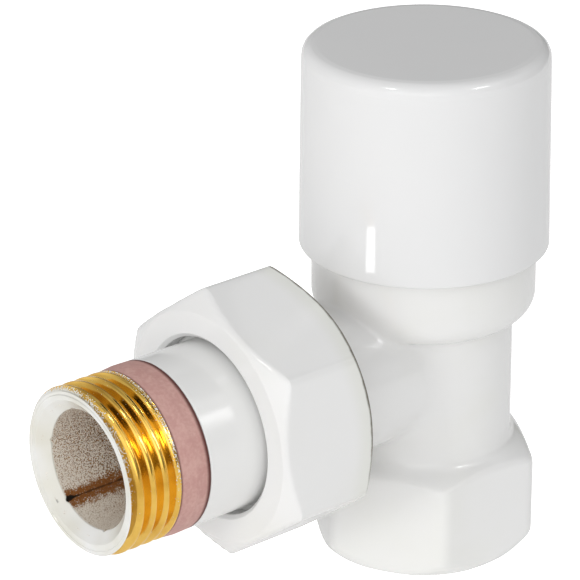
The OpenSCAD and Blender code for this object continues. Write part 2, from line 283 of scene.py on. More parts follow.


# The nut's enamel, with a dark line of painted shade along its back edge and a band of painted shade beside
# it.
def makeNutEnamel(back, edgeRadius):
    look = enamelLook
    material, shader, place = startMaterial("nutEnamel", IOR=1.5)
    radius, station = outletCoordinates(place)
    x, y, z = place.split()
    patches = noise(place, 60, 3).step(0.42, 0.78)
    clean = patches.mix(look["colour"], look["warm"])
    ragged = noise(place, 700, 3, 0.6) - 0.5
    around = (z - outletHeight * mm).maths("ARCTAN2", z - outletHeight * mm, x)
    share = None
    for k in range(3):
        face = abs(around.maths("COSINE", around - nutTurn - math.pi / 6 - k * math.pi / 3))
        face = face ** milledSharpness
        share = face if share is None else share + face
    toFlat = share ** (-1 / milledSharpness) * nutApothem - radius
    rise = nutSizes["backChamfer"]
    toChamfer = ((station - back) * nutDrop - (radius - edgeRadius) * rise) / math.hypot(nutDrop, rise)
    fromEdge = abs(toFlat) + abs(toChamfer)
    # painted shade: a darker grey-green band beside the back edge
    shadeBand = (1 - fromEdge.step(0.3, 2.6)) * 0.8
    height = z / mm - outletHeight
    # painted shade: a dark line along the upper back edge, where the back chamfer faces the body
    edgeShadeLine = 1 - (fromEdge + ragged * 0.24 - height.step(-6, 4) * 0.08).step(0.0, nutEdgeShade["width"])
    edgeShadeLine = edgeShadeLine * height.step(-9, -1) * radius.step(edgeRadius - 0.5, edgeRadius - 0.2)
    feed(shader, "Base Color", edgeShadeLine.mix(shadeBand.mix(clean, nutEdgeShade["tint"]), nutEdgeShade["line"]))
    feed(shader, "Roughness", noise(place, 140, 2) * 0.06 + 0.09)
    peel = noise(place, look["waves"], 1) + noise(place, look["grain"], 1) * 0.12
    feed(shader, "Normal", bump(peel, 0.2, 0.0001))
    return material


# Moulded white gloss plastic of the cap.
def makeCapPlastic():
    material, shader, place = startMaterial("capPlastic", IOR=1.52)
    shade = noise(place, 45, 2).step(0.3, 0.8)
    feed(shader, "Base Color", shade.mix((0.765, 0.765, 0.765, 1), (0.75, 0.752, 0.755, 1)))
    feed(shader, "Roughness", noise(place, 220, 3) * 0.07 + 0.1)
    feed(shader, "Normal", bump(noise(place, 110, 1), 0.12, 0.0001))
    return material


tailLook = {
    "brass": (0.90, 0.58, 0.13, 1), "darkBrass": (0.72, 0.41, 0.07, 1),
    "enamel": (0.80, 0.80, 0.79, 1), "endEnamel": (0.69, 0.675, 0.60, 1),
    "boreBrown": (0.55, 0.31, 0.13, 1), "boreDark": (0.20, 0.09, 0.03, 1),
    "boreGrey": (0.62, 0.54, 0.43, 1), "rust": (0.36, 0.13, 0.03, 1),
    "fleck": 5200, "grain": 6800,
}


# Tailpiece: enamel on the barrel and the end, bare brass thread with a few
# flecks at both ends of it, and a bore that the spray reached only in specks.
def makeTailMetal(tail):
    look = tailLook
    material, shader, place = startMaterial("tailMetal", IOR=1.5)
    radius, station = outletCoordinates(place)
    x, y, z = place.split()
    height = z / mm - outletHeight
    upper = height.step(-4, 5)
    ragged = noise(place, 1100, 3, 0.6) - 0.5
    # enamel outside: the end with a ragged border, flecks beyond it, the barrel
    fromTip = (tail["tip"] - station) + ragged * (0.25 + upper * 0.4)
    fromRing = (station - tail["threadStart"]) + ragged * 0.5
    endPaint = 1 - fromTip.step(tail["paintedTip"] - 0.1, tail["paintedTip"] + 0.04)
    dustTip = (1 - fromTip.step(tail["paintedTip"], tail["paintedTip"] + 0.55)) * (upper * 0.5 + 0.5)
    dustRing = (1 - fromRing.step(0.0, 1.1)) * (upper * 0.7 + 0.3)
    flecks = (noise(place, look["fleck"], 1, 0.5) + dustTip.most(dustRing) * 0.27).step(0.765, 0.79)
    barrel = 1 - station.step(tail["threadStart"] - 0.2, tail["threadStart"] - 0.1)
    mouth = (1 - radius.step(8.95, 9.05)) * station.step(tail["tip"] - 1.8, tail["tip"] - 1.7)
    paint = endPaint.most(flecks).most(barrel).most(mouth)
    # the bore: fine spray, denser near the mouth and away from the bare stripe, with painted shade in the
    # corner's crease and notch
    across = z - outletHeight * mm
    angle = across.maths("ARCTAN2", across, x)
    turn = angle.maths("WRAP", angle - math.radians(tail["stripe"]), math.pi, -math.pi)
    stripe = 1 - (abs(turn) + ragged * 0.3).step(0.06, 0.26)
    # painted shade: a dark line along the hexagon corner's crease in the bore
    creaseShade = 1 - (abs(turn + 0.02) + ragged * 0.05).step(0.005, 0.02)
    # painted shadow: a near-black notch where that corner meets the mouth
    notchShadow = 1 - (abs(turn + 0.02) + (tail["tip"] - station) / 30 + ragged * 0.05).step(0.09, 0.12)
    depth = (tail["tip"] - station) / 14
    browner = (depth * 0.9 - turn.maths("SINE", turn) * 0.35 + ragged * 0.3).step(-0.1, 0.85).most(stripe)
    grains = noise(place, look["grain"], 1, 0.5)
    sprayed = (grains + 0.08 - browner * 0.07 - stripe * 0.2).step(0.46, 0.52)
    dirt = browner.mix(look["boreGrey"], look["boreBrown"])
    blotches = (noise(place, look["grain"] * 0.7, 2) * 0.8 + browner * 0.3).step(0.45, 0.8)
    dirt = blotches.mix(dirt, look["boreDark"])
    dirt = (stripe * 0.85).mix(dirt, look["rust"])
    boreColour = sprayed.mix(dirt, (0.86, 0.80, 0.71, 1))
    boreColour = creaseShade.mix(boreColour, (0.13, 0.055, 0.018, 1))
    boreColour = notchShadow.mix(boreColour, (0.012, 0.008, 0.005, 1))
    pastMouth = tail["tip"] - station + radius - tail["mouthRadius"] + ragged * 0.3
    inBore = pastMouth.step(0.1, 0.22) * (1 - radius.step(8.25, 8.35))
    inBore = inBore * station.step(tail["barrelStart"], tail["barrelStart"] + 0.2)
    # bare brass of the thread and the hidden parts
    tone = noise(place, 260, 3).step(0.35, 0.75)
    brass = tone.mix(look["brass"], look["darkBrass"])
    nearEnd = station.step(tail["threadStart"], tail["threadStart"] + 1)
    nearEnd = nearEnd * noise(place, 130, 2).step(0.3, 0.7)
    enamelHere = nearEnd.mix(look["enamel"], look["endEnamel"])
    feed(shader, "Base Color", inBore.mix(paint.mix(brass, enamelHere), boreColour))
    feed(shader, "Metallic", (1 - paint) * (1 - inBore) + inBore * (1 - sprayed) * 0.45)
    outsideRoughness = (tone * 0.06 + 0.13) * (1 - paint) + paint * 0.16
    feed(shader, "Roughness", outsideRoughness * (1 - inBore) + inBore * 0.42)
    film = bump(paint, 0.5, 0.00004)
    phase = station * 34 + ragged * 2
    lines = phase.maths("SINE", phase) * (1 - paint)
    turned = bump(lines, 0.1, 0.00002, film)
    rough = bump(grains * inBore, 0.6, 0.00008, turned)
    feed(shader, "Normal", bump(noise(place, 240, 1), 0.16, 0.00008, rough))
    return material


# edge is the colour of the painted shade at the ring's two ends.
sealLook = {"rose": (0.52, 0.285, 0.255, 1), "pale": (0.60, 0.36, 0.32, 1), "edge": (0.11, 0.028, 0.022, 1)}


# Dusty rose seal ring, with painted shade where it meets the metal on both sides.
def makeSealRubber(low, high):
    look = sealLook
    material, shader, place = startMaterial("roseSeal", Roughness=0.62, IOR=1.45)
    radius, station = outletCoordinates(place)
    mottle = (noise(place, 420, 4, 0.65) * 0.6 + noise(place, 2400, 2) * 0.4).step(0.38, 0.66)
    body = mottle.mix(look["rose"], look["pale"])
    middle = (station - low) / (high - low)
    # painted shade: dark bands at both ends of the ring, where it meets the metal
    rimShade = (1 - middle.step(0.05, 0.17)).most(middle.step(0.93, 1.0) * 0.8)
    feed(shader, "Base Color", rimShade.mix(body, look["edge"]))
    feed(shader, "Normal", bump(noise(place, 1500, 3), 0.25, 0.00006))
    return material


# Turned or plated metal with fine tool lines round its axis.
def makeTurnedMetal(name, colour, shade, roughness, pitch=0.09, lineDepth=0.18):
    material, shader, place = startMaterial(name, Metallic=1.0)
    x, y, z = place.split()
    cloud = noise(place, 300, 3).step(0.3, 0.8)
    feed(shader, "Base Color", cloud.mix(colour, shade))
    feed(shader, "Roughness", cloud * 0.1 + roughness)
    jitter = noise(place, 700, 2) * 1.5
    phase = (z / mm) * (2 * math.pi / pitch) + jitter
    across = (length2(x, y) / mm) * (2 * math.pi / pitch) + jitter
    lines = phase.maths("SINE", phase) + across.maths("SINE", across)
    feed(shader, "Normal", bump(lines, lineDepth, 0.00001))
    return material


def makeRubber():
    material, shader, place = startMaterial("blackRubber", IOR=1.5)
    bloom = noise(place, 500, 3).step(0.45, 0.8)
    feed(shader, "Base Color", bloom.mix((0.012, 0.012, 0.013, 1), (0.035, 0.035, 0.036, 1)))
    feed(shader, "Roughness", bloom * 0.2 + 0.38)
    feed(shader, "Normal", bump(noise(place, 1800, 2), 0.2, 0.00003))
    return material


def makeWaxyPlastic(name, colour, roughness):
    material, shader, place = startMaterial(name, IOR=1.48, Subsurface_Weight=0.0)
    cloud = noise(place, 260, 3)
    dark = tuple(c * 0.93 for c in colour[:3]) + (1,)
    feed(shader, "Base Color", cloud.mix(colour, dark))
    feed(shader, "Roughness", cloud * 0.12 + roughness)
    feed(shader, "Normal", bump(noise(place, 1300, 2), 0.18, 0.00003))
    return material


# Corners are (radius, station, rounding).  Returns the outline's points, with
# each corner as an arc and straight runs cut to pieces no longer than step,
# or than fineStep inside the fine stations.
def layOutline(corners, step, fineStep=None, fine=(0, 0), arcSteps=5):
    count = len(corners)
    points = []
    for k in range(count):
        here = Vector(corners[k][:2])
        toBack = Vector(corners[k - 1][:2]) - here
        toNext = Vector(corners[(k + 1) % count][:2]) - here
        turn = toBack.angle(toNext)
        reach = corners[k][2] / math.tan(turn / 2) if corners[k][2] > 0 else 0
        reach = min(reach, toBack.length * 0.49, toNext.length * 0.49)
        if reach < 1e-4:
            points.append(here)
            continue
        start = here + toBack.normalized() * reach
        end = here + toNext.normalized() * reach
        for i in range(arcSteps + 1):
            t = i / arcSteps
            points.append(start * (1 - t) ** 2 + here * 2 * t * (1 - t) + end * t ** 2)
    outline = []
    for a, b in zip(points, points[1:] + points[:1]):
        outline.append(a)
        long = (b - a).length
        if long < 2.5 * step * 0.2:
            continue
        middle = (a.y + b.y) / 2
        isFine = fineStep and fine[0] <= middle <= fine[1]
        pieces = max(1, math.ceil(long / (fineStep if isFine else step)))
        guard = min(0.06, long * 0.2)
        cuts = [guard / long] + [i / pieces for i in range(1, pieces)] + [1 - guard / long]
        cuts = [c for c in cuts if guard / long <= c <= 1 - guard / long]
        outline.extend(a.lerp(b, c) for c in cuts)
    return outline


# Closed mesh of an outline turned about the Z axis, in millimetres.
def spin(name, outline, sides=384):
    count = len(outline)
    verts = []
    for k in range(sides):
        angle = 2 * math.pi * k / sides
        verts.extend((p.x * math.cos(angle), p.x * math.sin(angle), p.y) for p in outline)
    faces = []
    for k in range(sides):
        near, far = k * count, (k + 1) % sides * count
        for i in range(count):
            j = (i + 1) % count
            faces.append((near + i, far + i, far + j, near + j))
    mesh = bpy.data.meshes.new(name)
    mesh.from_pydata(verts, [], faces)
    return orient(mesh)


# Merges doubles and points the faces outwards.
def orient(mesh):
    work = bmesh.new()
    work.from_mesh(mesh)
    bmesh.ops.remove_doubles(work, verts=work.verts, dist=1e-5)
    bmesh.ops.recalc_face_normals(work, faces=work.faces)
    work.to_mesh(mesh)
    work.free()
    return mesh


machineInputs = [
    "Hexagon Flats", "Hexagon Low", "Hexagon High", "Hexagon Turn",
    "Thread Radius", "Thread Depth", "Thread Pitch", "Thread Start", "Thread End", "Thread Phase",
    "Thread Side", "Thread Shape", "Start Fade", "End Fade",
    "Key Flats", "Key Low", "Key High", "Key Turn", "Laid", "Height",
]


# The tree that machines a turned blank, in millimetres: it mills a hexagon
# outside, broaches one inside and cuts a right-hand thread.  Thread Side is 1
# for a thread outside and -1 for one inside.  Laid is 1 for a piece on the
# outlet's axis.
def makeMachineTree():
    tree, blank, size = startTree("machineBlank", machineInputs)
    place = blank.add("GeometryNodeInputPosition")
    x, y, z = place.split()
    radius = length2(x, y)
    angle = x.maths("ARCTAN2", y, x)

    def hexagonRadius(flats, turn, sharpness):
        total = None
        for k in range(3):
            facing = abs(angle.maths("COSINE", angle - turn - math.pi / 6 - k * math.pi / 3))
            share = facing ** sharpness
            total = share if total is None else total + share
        return (flats / 2) / total ** (1 / sharpness)

    def between(low, high):
        return z.maths("GREATER_THAN", z, low - 0.001) * z.maths("LESS_THAN", z, high + 0.001)

    milled = hexagonRadius(size["Hexagon Flats"], size["Hexagon Turn"], milledSharpness)
    isOuter = radius.maths("GREATER_THAN", radius, size["Hexagon Flats"] / 2 - 1.3)
    here = between(size["Hexagon Low"], size["Hexagon High"]) * isOuter
    here = here * radius.maths("GREATER_THAN", size["Hexagon Flats"], 0.1)
    shaped = radius + (radius.least(milled, 0.18) - radius) * here

    broached = hexagonRadius(size["Key Flats"], size["Key Turn"], 60)
    isInner = radius.maths("LESS_THAN", radius, size["Key Flats"] / 2 * 1.1547 + 0.6)
    here = between(size["Key Low"], size["Key High"]) * isInner
    here = here * radius.maths("GREATER_THAN", size["Key Flats"], 0.1)
    shaped = shaped + (radius.most(broached, 0.04) - radius) * here

    side = size["Thread Side"]
    turns = z / size["Thread Pitch"] - angle / (2 * math.pi) + size["Thread Phase"]
    wave = 0.5 - 0.5 * turns.maths("COSINE", turns * (2 * math.pi))
    wave = wave ** size["Thread Shape"]
    fadeIn = z.step(size["Thread Start"], size["Thread Start"] + size["Start Fade"])
    fadeOut = 1 - z.step(size["Thread End"] - size["End Fade"], size["Thread End"])
    cut = side * size["Thread Radius"] - size["Thread Depth"] * wave * fadeIn * fadeOut
    threaded = (side * shaped).least(cut, 0.12) * side
    onFlank = radius.maths("GREATER_THAN", side * (radius - size["Thread Radius"]), -1.7)
    here = between(size["Thread Start"], size["Thread End"]) * onFlank
    here = here * radius.maths("GREATER_THAN", size["Thread Depth"], 0.001)
    shaped = shaped + (threaded - shaped) * here

    scale = shaped / radius.most(0.001)
    moved = blank.add("GeometryNodeSetPosition", {}, {
        "Geometry": blank, "Position": place.vector(x * scale, y * scale, z)})
    # along the outlet: the blank's Z becomes -Y at the outlet's height
    laid = size["Laid"]
    after = moved.add("GeometryNodeInputPosition")
    x, y, z = after.split()
    standing = 1 - laid
    at = after.vector(x * mm, (y * standing - z * laid) * mm,
                      (z * standing + (y + size["Height"]) * laid) * mm)
    placed = moved.add("GeometryNodeSetPosition", {}, {"Geometry": moved, "Position": at})
    endTree(tree, placed, size)
    return tree


# Turns a blank from corners, machines it and returns the piece.
def turnPiece(name, corners, material, sides=384, step=0.8, fineStep=0.11, onOutlet=False, **cuts):
    values = dict.fromkeys(machineInputs, 0.0)
    values.update({"Thread Pitch": 1.0, "Thread Side": 1.0, "Thread Shape": 1.0})
    values.update({label.replace("_", " "): value for label, value in cuts.items()})
    values["Laid"] = 1.0 if onOutlet else 0.0
    values["Height"] = outletHeight
    fine = (values["Thread Start"], values["Thread End"])
    outline = layOutline(corners, step, fineStep, fine)
    return runTree(name, spin(name, outline, sides), machineTree, values, material)


machineTree = makeMachineTree()

bodyLow, bodyHigh = spanOf("valve_body")
inletRadius = mounts["inlet_thread"]["dims"]["r_mm"]
inletDepth = mounts["inlet_thread"]["dims"]["length_mm"]
pipePitch = 25.4 / 14
pipeDepth = 1.16

castingSizes = {
    "Flats": 2 * bodyHigh.y * math.cos(math.pi / 6), "Hexagon Height": 14.4, "Hexagon Edge": 1.5,
    "Foot Radius": 12.8, "Foot Slope": 1.0, "Top Radius": 10.7, "Top Slope": 0.464,
    "Neck Radius": 11.2, "Flare Height": 31.4, "Flare Rise": 3.0,
    "Crown Radius": bodyHigh.x, "Crown Top": bodyHigh.z,
    "Outlet Height": outletHeight, "Boss Radius": 9.4, "Boss Length": 22.6, "Boss Flare": 2.0,
    "Collar Radius": 12.55, "Core Radius": 11.7, "Core Length": -bodyLow.y,
    "Neck Fillet": 1.6, "Crown Fillet": 0.9, "Boss Fillet": 1.5, "Edge": 0.35,
    "Inlet Radius": inletRadius + pipeDepth + 0.05, "Inlet Depth": inletDepth, "Inlet Lead": 0.7,
    "Port Radius": 5.5, "Seat Height": 17.6, "Seat Lip": 0.9, "Chamber Radius": 7.6,
    "Bonnet Radius": 8.8, "Bonnet Foot": 32.2, "Pocket Radius": 10.2, "Pocket Depth": 1.3,
    "Duct Radius": 6.2, "Spigot Radius": 9.05, "Spigot Length": 4.3,
    "Voxel": 0.36, "Margin": 1.2,
}


# Distance in millimetres from the casting's surface, negative inside it.
def castingField(place, s):
    x, y, z = place.split()
    radius = length2(x, y)
    alongOutlet = -y
    outletRadius = length2(x, z - s["Outlet Height"])

    # foot hexagon with both ends turned down
    slantA = abs(x * 0.5 + y * 0.866025)
    slantB = abs(x * 0.5 - y * 0.866025)
    sides = abs(x).most(slantA, s["Hexagon Edge"]).most(slantB, s["Hexagon Edge"])
    flats = sides - s["Flats"] / 2
    footTurn = (radius - s["Foot Radius"]) * s["Foot Slope"] - z
    footTurn = footTurn / (1 + s["Foot Slope"] * s["Foot Slope"]).root()
    topTurn = (radius - s["Top Radius"]) * s["Top Slope"] + z - s["Hexagon Height"]
    topTurn = topTurn / (1 + s["Top Slope"] * s["Top Slope"]).root()
    foot = flats.most(footTurn, 0.9).most(topTurn, 1.0).most(-z, s["Edge"])

    # neck, and the crown with its elliptic flare
    neck = (radius - s["Neck Radius"]).most(8 - z).most(z - s["Crown Top"], s["Edge"])
    overhang = s["Crown Radius"] - s["Neck Radius"]
    outward = (radius - s["Neck Radius"]).most(0.3)
    downward = (s["Flare Height"] + s["Flare Rise"] - z).most(0.3)
    near = length2(outward / overhang, downward / s["Flare Rise"])
    steep = length2(outward / overhang / overhang, downward / s["Flare Rise"] / s["Flare Rise"])
    crown = (near * (near - 1) / steep).most(z - s["Crown Top"], s["Edge"])

    # outlet boss, and the core that carries its thread
    boss = (outletRadius - s["Boss Radius"]).most(-alongOutlet).most(
        alongOutlet - s["Boss Length"], s["Edge"])
    collar = outletRadius - s["Collar Radius"] + (s["Boss Length"] - alongOutlet) * (
        (s["Collar Radius"] - s["Boss Radius"]) / s["Boss Flare"])
    collar = (collar * 0.54).most(outletRadius - s["Collar Radius"]).most(
        s["Boss Length"] - s["Boss Flare"] - 1 - alongOutlet).most(alongOutlet - s["Boss Length"])
    core = (outletRadius - s["Core Radius"]).most(s["Boss Length"] - 0.6 - alongOutlet).most(
        alongOutlet - s["Core Length"], s["Edge"])

    solid = neck.least(foot, s["Neck Fillet"])
    solid = solid.least(crown, s["Crown Fillet"])
    solid = solid.least(boss, s["Boss Fillet"]).least(collar, 0.4).least(core)

    # bores: inlet, seat and port, chamber, bonnet thread, outlet
    inlet = (radius - s["Inlet Radius"]).most(z - s["Inlet Depth"], 0.4)
    lead = (radius - s["Inlet Radius"] - s["Inlet Lead"] + z) * 0.7071
    port = (radius - s["Port Radius"]).most(z - s["Seat Height"] - 2)
    lip = s["Port Radius"] + s["Seat Lip"]
    trough = abs(radius - (lip + s["Chamber Radius"]) / 2) - (s["Chamber Radius"] - lip) / 2
    trough = trough.most(abs(z - s["Seat Height"]) - s["Seat Lip"], 0.3)
    chamber = (radius - s["Chamber Radius"]).most(s["Seat Height"] - z)
    headwork = (radius - s["Bonnet Radius"]).most(s["Bonnet Foot"] - z)
    pocket = (radius - s["Pocket Radius"]).most(s["Crown Top"] - s["Pocket Depth"] - z)
    duct = (outletRadius - s["Duct Radius"]).most(-alongOutlet)
    spigot = (outletRadius - s["Spigot Radius"]).most(s["Core Length"] - s["Spigot Length"] - alongOutlet)
    bored = inlet.least(lead.most(z - 2)).least(port).least(trough)
    bored = bored.least(chamber, 0.3).least(headwork).least(pocket).least(duct, 0.5).least(spigot)
    return solid.most(-bored, s["Edge"])


# The casting as a mesh: a volume of the field, then its points moved onto it.
def makeCastingTree(low, high):
    tree, nothing, size = startTree("castBody", castingSizes)
    voxel = castingSizes["Voxel"]
    margin = Vector((castingSizes["Margin"],) * 3)
    low, high = low - margin, high + margin
    place = nothing.add("GeometryNodeInputPosition")
    sockets = {"Density": 0.5 - castingField(place, size), "Background": 0.0, "Min": low, "Max": high}
    for axis, span in zip("XYZ", high - low):
        sockets["Resolution " + axis] = math.ceil(span / voxel)
    volume = place.add("GeometryNodeVolumeCube", {}, sockets)
    surface = volume.add("GeometryNodeVolumeToMesh", {"resolution_mode": "GRID"}, {
        "Volume": volume, "Threshold": 0.5, "Adaptivity": 0.0})
    for k in range(2):
        place = surface.add("GeometryNodeInputPosition")
        facing = surface.add("GeometryNodeInputNormal")
        gap = -castingField(place, size)
        offset = facing.add("ShaderNodeVectorMath", {"operation": "SCALE"}, {0: facing, 3: gap})
        surface = surface.add("GeometryNodeSetPosition", {}, {"Geometry": surface, "Offset": offset})
    metres = surface.add("GeometryNodeTransform", {}, {"Geometry": surface, "Scale": (mm, mm, mm)})
    endTree(tree, metres, size)
    return tree


print("casting the body")
enamel = makeEnamel("whiteEnamel")
castTree = makeCastingTree(bodyLow, bodyHigh)
valveBody = runTree("valveBody", bpy.data.meshes.new("valveBody"), castTree, castingSizes, enamel)
settle(valveBody, "body", "white_paint", "valve_body")
print("  faces", len(valveBody.data.polygons))

nutLow, nutHigh = spanOf("union_nut")
tailLow, tailHigh = spanOf("tailpiece")
ringLow, ringHigh = spanOf("tail_seal_ring")
nutSizes = {
    "turn": 37, "thread": 12.63, "threadDepth": 1.1, "innerFace": 32.2, "hole": 11.13,
    "faceRadius": 14.43, "backRadius": 14.73, "frontChamfer": 1.95, "backChamfer": 1.9, "edge": 0.3,
}
tailSizes = {
    "tip": -tailLow.y, "back": -tailHigh.y, "bore": 6.2, "spigot": 9.0, "groove": 28.5, "grooveWidth": 1.46,
    "grooveFloor": 7.6, "flangeBack": 30.7, "flangeFront": 32.1, "flangeRadius": tailHigh.x,
    "barrel": 10.5275, "seat": 9.03, "ringStart": -ringHigh.y - 0.05, "threadStart": -ringLow.y + 0.05,
    "crest": mounts["tail_thread"]["dims"]["r_mm"], "lead": 0.5, "faceLine": 9.62,
    "mouthRadius": 8.75, "mouthDepth": 1.35,
    "keyBore": 7.3975, "keyFlats": 13.25, "keyDepth": 14, "keyTurn": 22, "barrelStart": 32.6,
    "paintedTip": 0.36, "stripe": 232,
}
nutTurn = math.radians(nutSizes["turn"])
nutCorner = nutHigh.x / math.cos(nutTurn - math.pi / 3)
nutApothem = nutCorner * math.cos(math.pi / 6)
nutDrop = nutCorner - nutSizes["backRadius"]

print("turning the union")
turnedBrass = makeTurnedMetal("turnedBrass", (0.78, 0.52, 0.17, 1), (0.62, 0.38, 0.11, 1), 0.2)


def makeNut():
    s = nutSizes
    front, back = -nutLow.y, -nutHigh.y
    corner = nutCorner
    crest = s["thread"] - s["threadDepth"] / 2
    corners = [
        (crest + s["threadDepth"] + 0.2, back, 0.15), (s["backRadius"], back, 0.12),
        (corner, back + s["backChamfer"], s["edge"]), (corner, front - s["frontChamfer"], s["edge"]),
        (s["faceRadius"], front, 0.35), (s["hole"] + 0.5, front, 0.2), (s["hole"], front - 0.5, 0.2),
        (s["hole"], s["innerFace"], 0.15), (crest + s["threadDepth"] + 0.1, s["innerFace"], 0.3),
        (crest + s["threadDepth"] + 0.1, s["innerFace"] - 1.6, 0.1), (crest, s["innerFace"] - 2.2, 0.1),
        (crest, back + 1.0, 0.1),
    ]
    nut = turnPiece(
        "unionNut", corners, makeNutEnamel(back, s["backRadius"]), 330, 0.7, 0.13, True,
        Hexagon_Flats=2 * nutApothem, Hexagon_Low=back, Hexagon_High=front, Hexagon_Turn=nutTurn,
        Thread_Radius=crest, Thread_Depth=s["threadDepth"], Thread_Pitch=pipePitch, Thread_Side=-1,
        Thread_Start=back, Thread_End=s["innerFace"] - 1.6, Start_Fade=0.6, End_Fade=0.6, Thread_Phase=0.5)
    return settle(nut, "nut", "white_paint", "union_nut")


def makeTail():
    s = tailSizes
    low, high = s["groove"] - s["grooveWidth"] / 2, s["groove"] + s["grooveWidth"] / 2
    corners = [
        (s["bore"], s["back"], 0.1), (s["spigot"], s["back"], 0.35), (s["spigot"], low, 0.1),
        (s["grooveFloor"], low, 0.15), (s["grooveFloor"], high, 0.15), (s["spigot"], high, 0.1),
        (s["spigot"], s["flangeBack"], 0.1), (s["flangeRadius"], s["flangeBack"], 0.15),
        (s["flangeRadius"], s["flangeFront"], 0.25), (s["barrel"], s["flangeFront"], 0.3),
        (s["barrel"], s["ringStart"], 0.2), (s["seat"], s["ringStart"], 0.1),
        (s["seat"], s["threadStart"], 0.1), (s["crest"], s["threadStart"], 0.15),
        (s["crest"], s["tip"] - s["lead"], 0.2), (s["crest"] - s["lead"], s["tip"], 0.15),
        (s["faceLine"], s["tip"], 0.04), (s["faceLine"] - 0.06, s["tip"] - 0.09, 0.03),
        (s["mouthRadius"] + 0.09, s["tip"] - 0.09, 0.15), (s["keyBore"], s["tip"] - s["mouthDepth"], 0.15),
        (s["keyBore"], s["barrelStart"], 0.1), (s["bore"], s["barrelStart"], 0.1),
    ]
    tail = turnPiece(
        "tailPiece", corners, makeTailMetal(s), 288, 0.7, 0.115, True,
        Thread_Radius=s["crest"], Thread_Depth=pipeDepth, Thread_Pitch=pipePitch,
        Thread_Start=s["threadStart"], Thread_End=s["tip"], Start_Fade=0.3, End_Fade=0.01,
        Thread_Shape=1.5, Thread_Phase=0.3,
        Key_Flats=s["keyFlats"], Key_Low=s["tip"] - s["keyDepth"], Key_High=s["tip"],
        Key_Turn=math.radians(s["keyTurn"] + 30))
    return settle(tail, "tail", "tail_brass", "tailpiece")


def makeSealRing():
    low, high = -ringHigh.y, -ringLow.y
    edge = ringHigh.x
    seat = tailSizes["seat"] + 0.05
    corners = [
        (seat, low, 0.1), (edge - 0.05, low, 0.12), (edge, (low + high) / 2, 1.2),
        (edge - 0.2, high, 0.25), (seat, high, 0.1),
    ]
    ring = turnPiece("tailSealRing", corners, makeSealRubber(low, high), 256, 0.4, None, True)
    return settle(ring, "tail", "rose_seal", "tail_seal_ring")


# A band that carries the male union thread on the boss.
def makeBossThread():
    start, end = castingSizes["Boss Length"], castingSizes["Core Length"]
    crest = nutSizes["thread"] + nutSizes["threadDepth"] / 2 - 0.09
    inner = castingSizes["Core Radius"] - 0.6
    corners = [(inner, start - 0.5, 0.1), (crest, start - 0.5, 0.3), (crest, end - 0.9, 0.2),
               (crest - 0.9, end, 0.2), (inner, end, 0.1)]
    band = turnPiece(
        "bossThread", corners, turnedBrass, 300, 0.7, 0.13, True,
        Thread_Radius=crest, Thread_Depth=nutSizes["threadDepth"], Thread_Pitch=pipePitch,
        Thread_Start=start - 0.5, Thread_End=end, Start_Fade=1.2, End_Fade=0.01, Thread_Phase=0.0)
    return settle(band, "body", "turned_brass")


# A band inside the foot that carries the inlet's female thread.
def makeInletThread():
    outer = castingSizes["Inlet Radius"] + 0.5
    top = inletDepth - 0.4
    corners = [(inletRadius, 0.9, 0.1), (inletRadius, top, 0.1), (outer, top, 0.1),
               (outer, 0.5, 0.1), (inletRadius + 1.0, 0.5, 0.1)]
    band = turnPiece(
        "inletThread", corners, turnedBrass, 300, 0.7, 0.13, False,
        Thread_Radius=inletRadius, Thread_Depth=pipeDepth, Thread_Pitch=pipePitch, Thread_Side=-1,
        Thread_Start=0.5, Thread_End=top, Start_Fade=0.3, End_Fade=1.5)
    return settle(band, "body", "turned_brass")


makeNut()
tailpiece = makeTail()
makeSealRing()
makeBossThread()
makeInletThread()

capLow, capHigh = spanOf("lockshield_cap")
capSizes = {
    "wall": 1.25, "roof": 1.8, "draft": 0.35, "edge": 1.9, "mouth": 0.35,
    "bossInner": 9.63, "bossWall": 1.5, "bossFoot": 47.7, "bead": 51, "beadHeight": 1.2, "beadDepth": 0.4,
    "ribs": 6, "ribThickness": 1.2, "ribFoot": 48.2,
}


# Repeats a mesh round the spindle's axis and joins the copies to the piece.
def makeRingTree():
    tree, part, size = startTree("repeatRound", ["Count"])
    tree.interface.new_socket("Copy", in_out="INPUT", socket_type="NodeSocketObject")
    entry = [n for n in tree.nodes if n.bl_idname == "NodeGroupInput"][0]
    source = Wire(tree, [o for o in entry.outputs if o.name == "Copy"][0])
    model = source.add("GeometryNodeObjectInfo", {}, {"Object": source}, out=4)
    count = size["Count"]
    line = count.add("GeometryNodeMeshLine", {}, {"Count": count, "Offset": (0, 0, 0)})
    index = count.add("GeometryNodeInputIndex")
    turn = index.vector(0.0, 0.0, index * (2 * math.pi) / count)
    copies = line.add("GeometryNodeInstanceOnPoints", {}, {
        "Points": line, "Instance": model, "Rotation": turn})
    both = part.add("GeometryNodeJoinGeometry", {}, {"Geometry": copies})
    tree.links.new(part.socket, both.socket.node.inputs[0])
    endTree(tree, both, size)
    return tree


# Adds count copies of a mesh round the spindle's axis to a piece.
def repeatRound(piece, mesh, count, material):
    model = bpy.data.objects.new(mesh.name, mesh)
    bpy.context.scene.collection.objects.link(model)
    modifier = piece.modifiers.new("repeat", "NODES")
    modifier.node_group = ringTree
    for item in ringTree.interface.items_tree:
        if item.in_out == "INPUT" and item.name == "Count":
            modifier[item.identifier] = float(count)
        if item.in_out == "INPUT" and item.name == "Copy":
            modifier[item.identifier] = model
        if item.in_out == "INPUT" and item.name == "Material":
            modifier[item.identifier] = material
    bpy.context.view_layer.update()
    shaped = piece.evaluated_get(bpy.context.evaluated_depsgraph_get())
    plain = bpy.data.meshes.new_from_object(shaped)
    piece.modifiers.remove(modifier)
    piece.data = plain
    bpy.data.objects.remove(model)
    if not plain.materials:
        plain.materials.append(material)
    return piece


